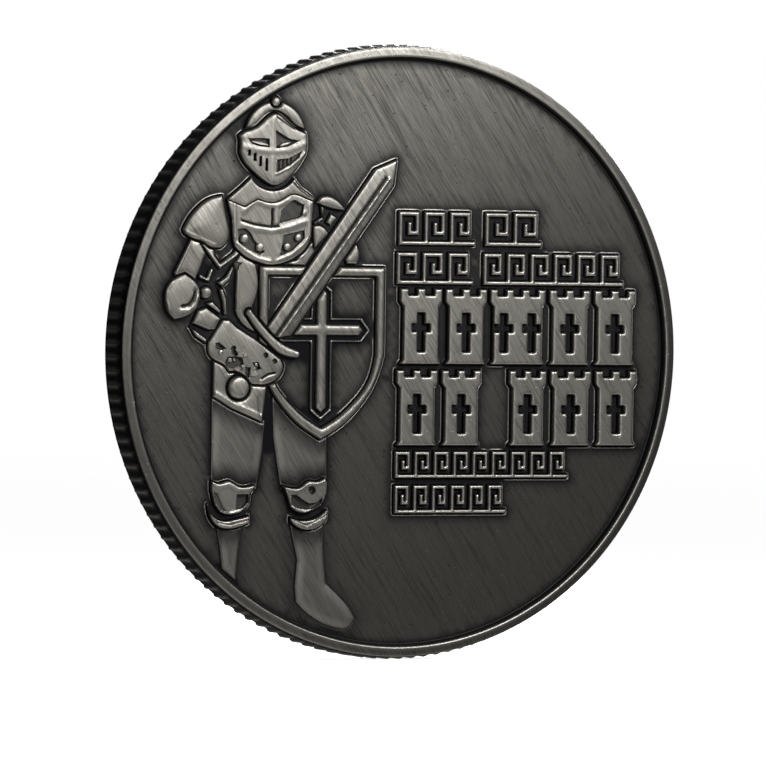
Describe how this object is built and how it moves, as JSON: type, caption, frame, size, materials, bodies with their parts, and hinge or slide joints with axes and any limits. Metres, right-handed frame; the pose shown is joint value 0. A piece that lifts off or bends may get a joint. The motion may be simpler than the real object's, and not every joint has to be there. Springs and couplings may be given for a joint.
{
  "type": "challenge coin",
  "caption": "Round struck medal with raised rims, a reeded edge, a knight with sword and shield in relief on the front, and a plain shield in a wreath on the back.",
  "frame": {"origin": "centre of the coin, halfway between its two faces", "axes": "+Z to the top of the design, the coin standing on its edge; -Y out of the obverse with the knight; +X to the right as the obverse is seen"},
  "size_m": [0.04, 0.003, 0.04],
  "materials": {
    "field_metal": "antique nickel plating, brushed field with dark toning",
    "rim_metal": "antique nickel plating, worn bright rim",
    "edge_metal": "antique nickel plating, dark toning between the reeds",
    "armour_metal": "antique nickel plating, polished high points and dark hollows",
    "sword_metal": "antique nickel plating, brushed blade",
    "shield_metal": "antique nickel plating, rounded bright ridges",
    "ornament_metal": "antique nickel plating, flat brushed tops and dark sides",
    "reverse_metal": "antique nickel plating, polished high points and dark hollows"
  },
  "bodies": {
    "root": {"arm_buckle": "armour_metal", "arm_lame_left": "armour_metal", "arm_plates_right": "armour_metal", "bead_ring": "reverse_metal", "breastplate": "armour_metal", "breastplate_rivets": "armour_metal", "core_disc": "field_metal", "cross_outline": "shield_metal", "crossguard": "sword_metal", "edge_shoulder": "edge_metal", "elbow_cup_left": "armour_metal", "elbow_cup_right": "armour_metal", "elbow_stud": "armour_metal", "fauld": "armour_metal", "forearm_left": "armour_metal", "forearm_straps": "armour_metal", "fret_row_1": "ornament_metal", "fret_row_2": "ornament_metal", "fret_row_5": "ornament_metal", "fret_row_6": "ornament_metal", "gauntlet": "armour_metal", "gorget": "armour_metal", "helm_finial": "armour_metal", "helm_skull": "armour_metal", "helm_visor": "armour_metal", "knee_bands": "armour_metal", "knee_left": "armour_metal", "knee_right": "armour_metal", "lower_tower_1": "ornament_metal", "lower_tower_2": "ornament_metal", "lower_tower_3": "ornament_metal", "lower_tower_4": "ornament_metal", "lower_tower_5": "ornament_metal", "obverse_rim": "rim_metal", "pauldron_left": "armour_metal", "pauldron_right": "armour_metal", "reeded_edge": "edge_metal", "reverse_rim": "rim_metal", "reverse_shield": "reverse_metal", "shield_cross": "shield_metal", "shield_frame": "shield_metal", "shin_left": "armour_metal", "shin_right": "armour_metal", "sword_blade": "sword_metal", "sword_pommel": "sword_metal", "tasset": "armour_metal", "thigh_left": "armour_metal", "thigh_right": "armour_metal", "upper_arm_left": "armour_metal", "upper_arm_right": "armour_metal", "upper_tower_1": "ornament_metal", "upper_tower_2": "ornament_metal", "upper_tower_3": "ornament_metal", "upper_tower_4": "ornament_metal", "upper_tower_5": "ornament_metal", "waist_plate": "armour_metal", "wreath_left": "reverse_metal", "wreath_right": "reverse_metal", "wreath_stem": "reverse_metal"}
  },
  "joints": []
}
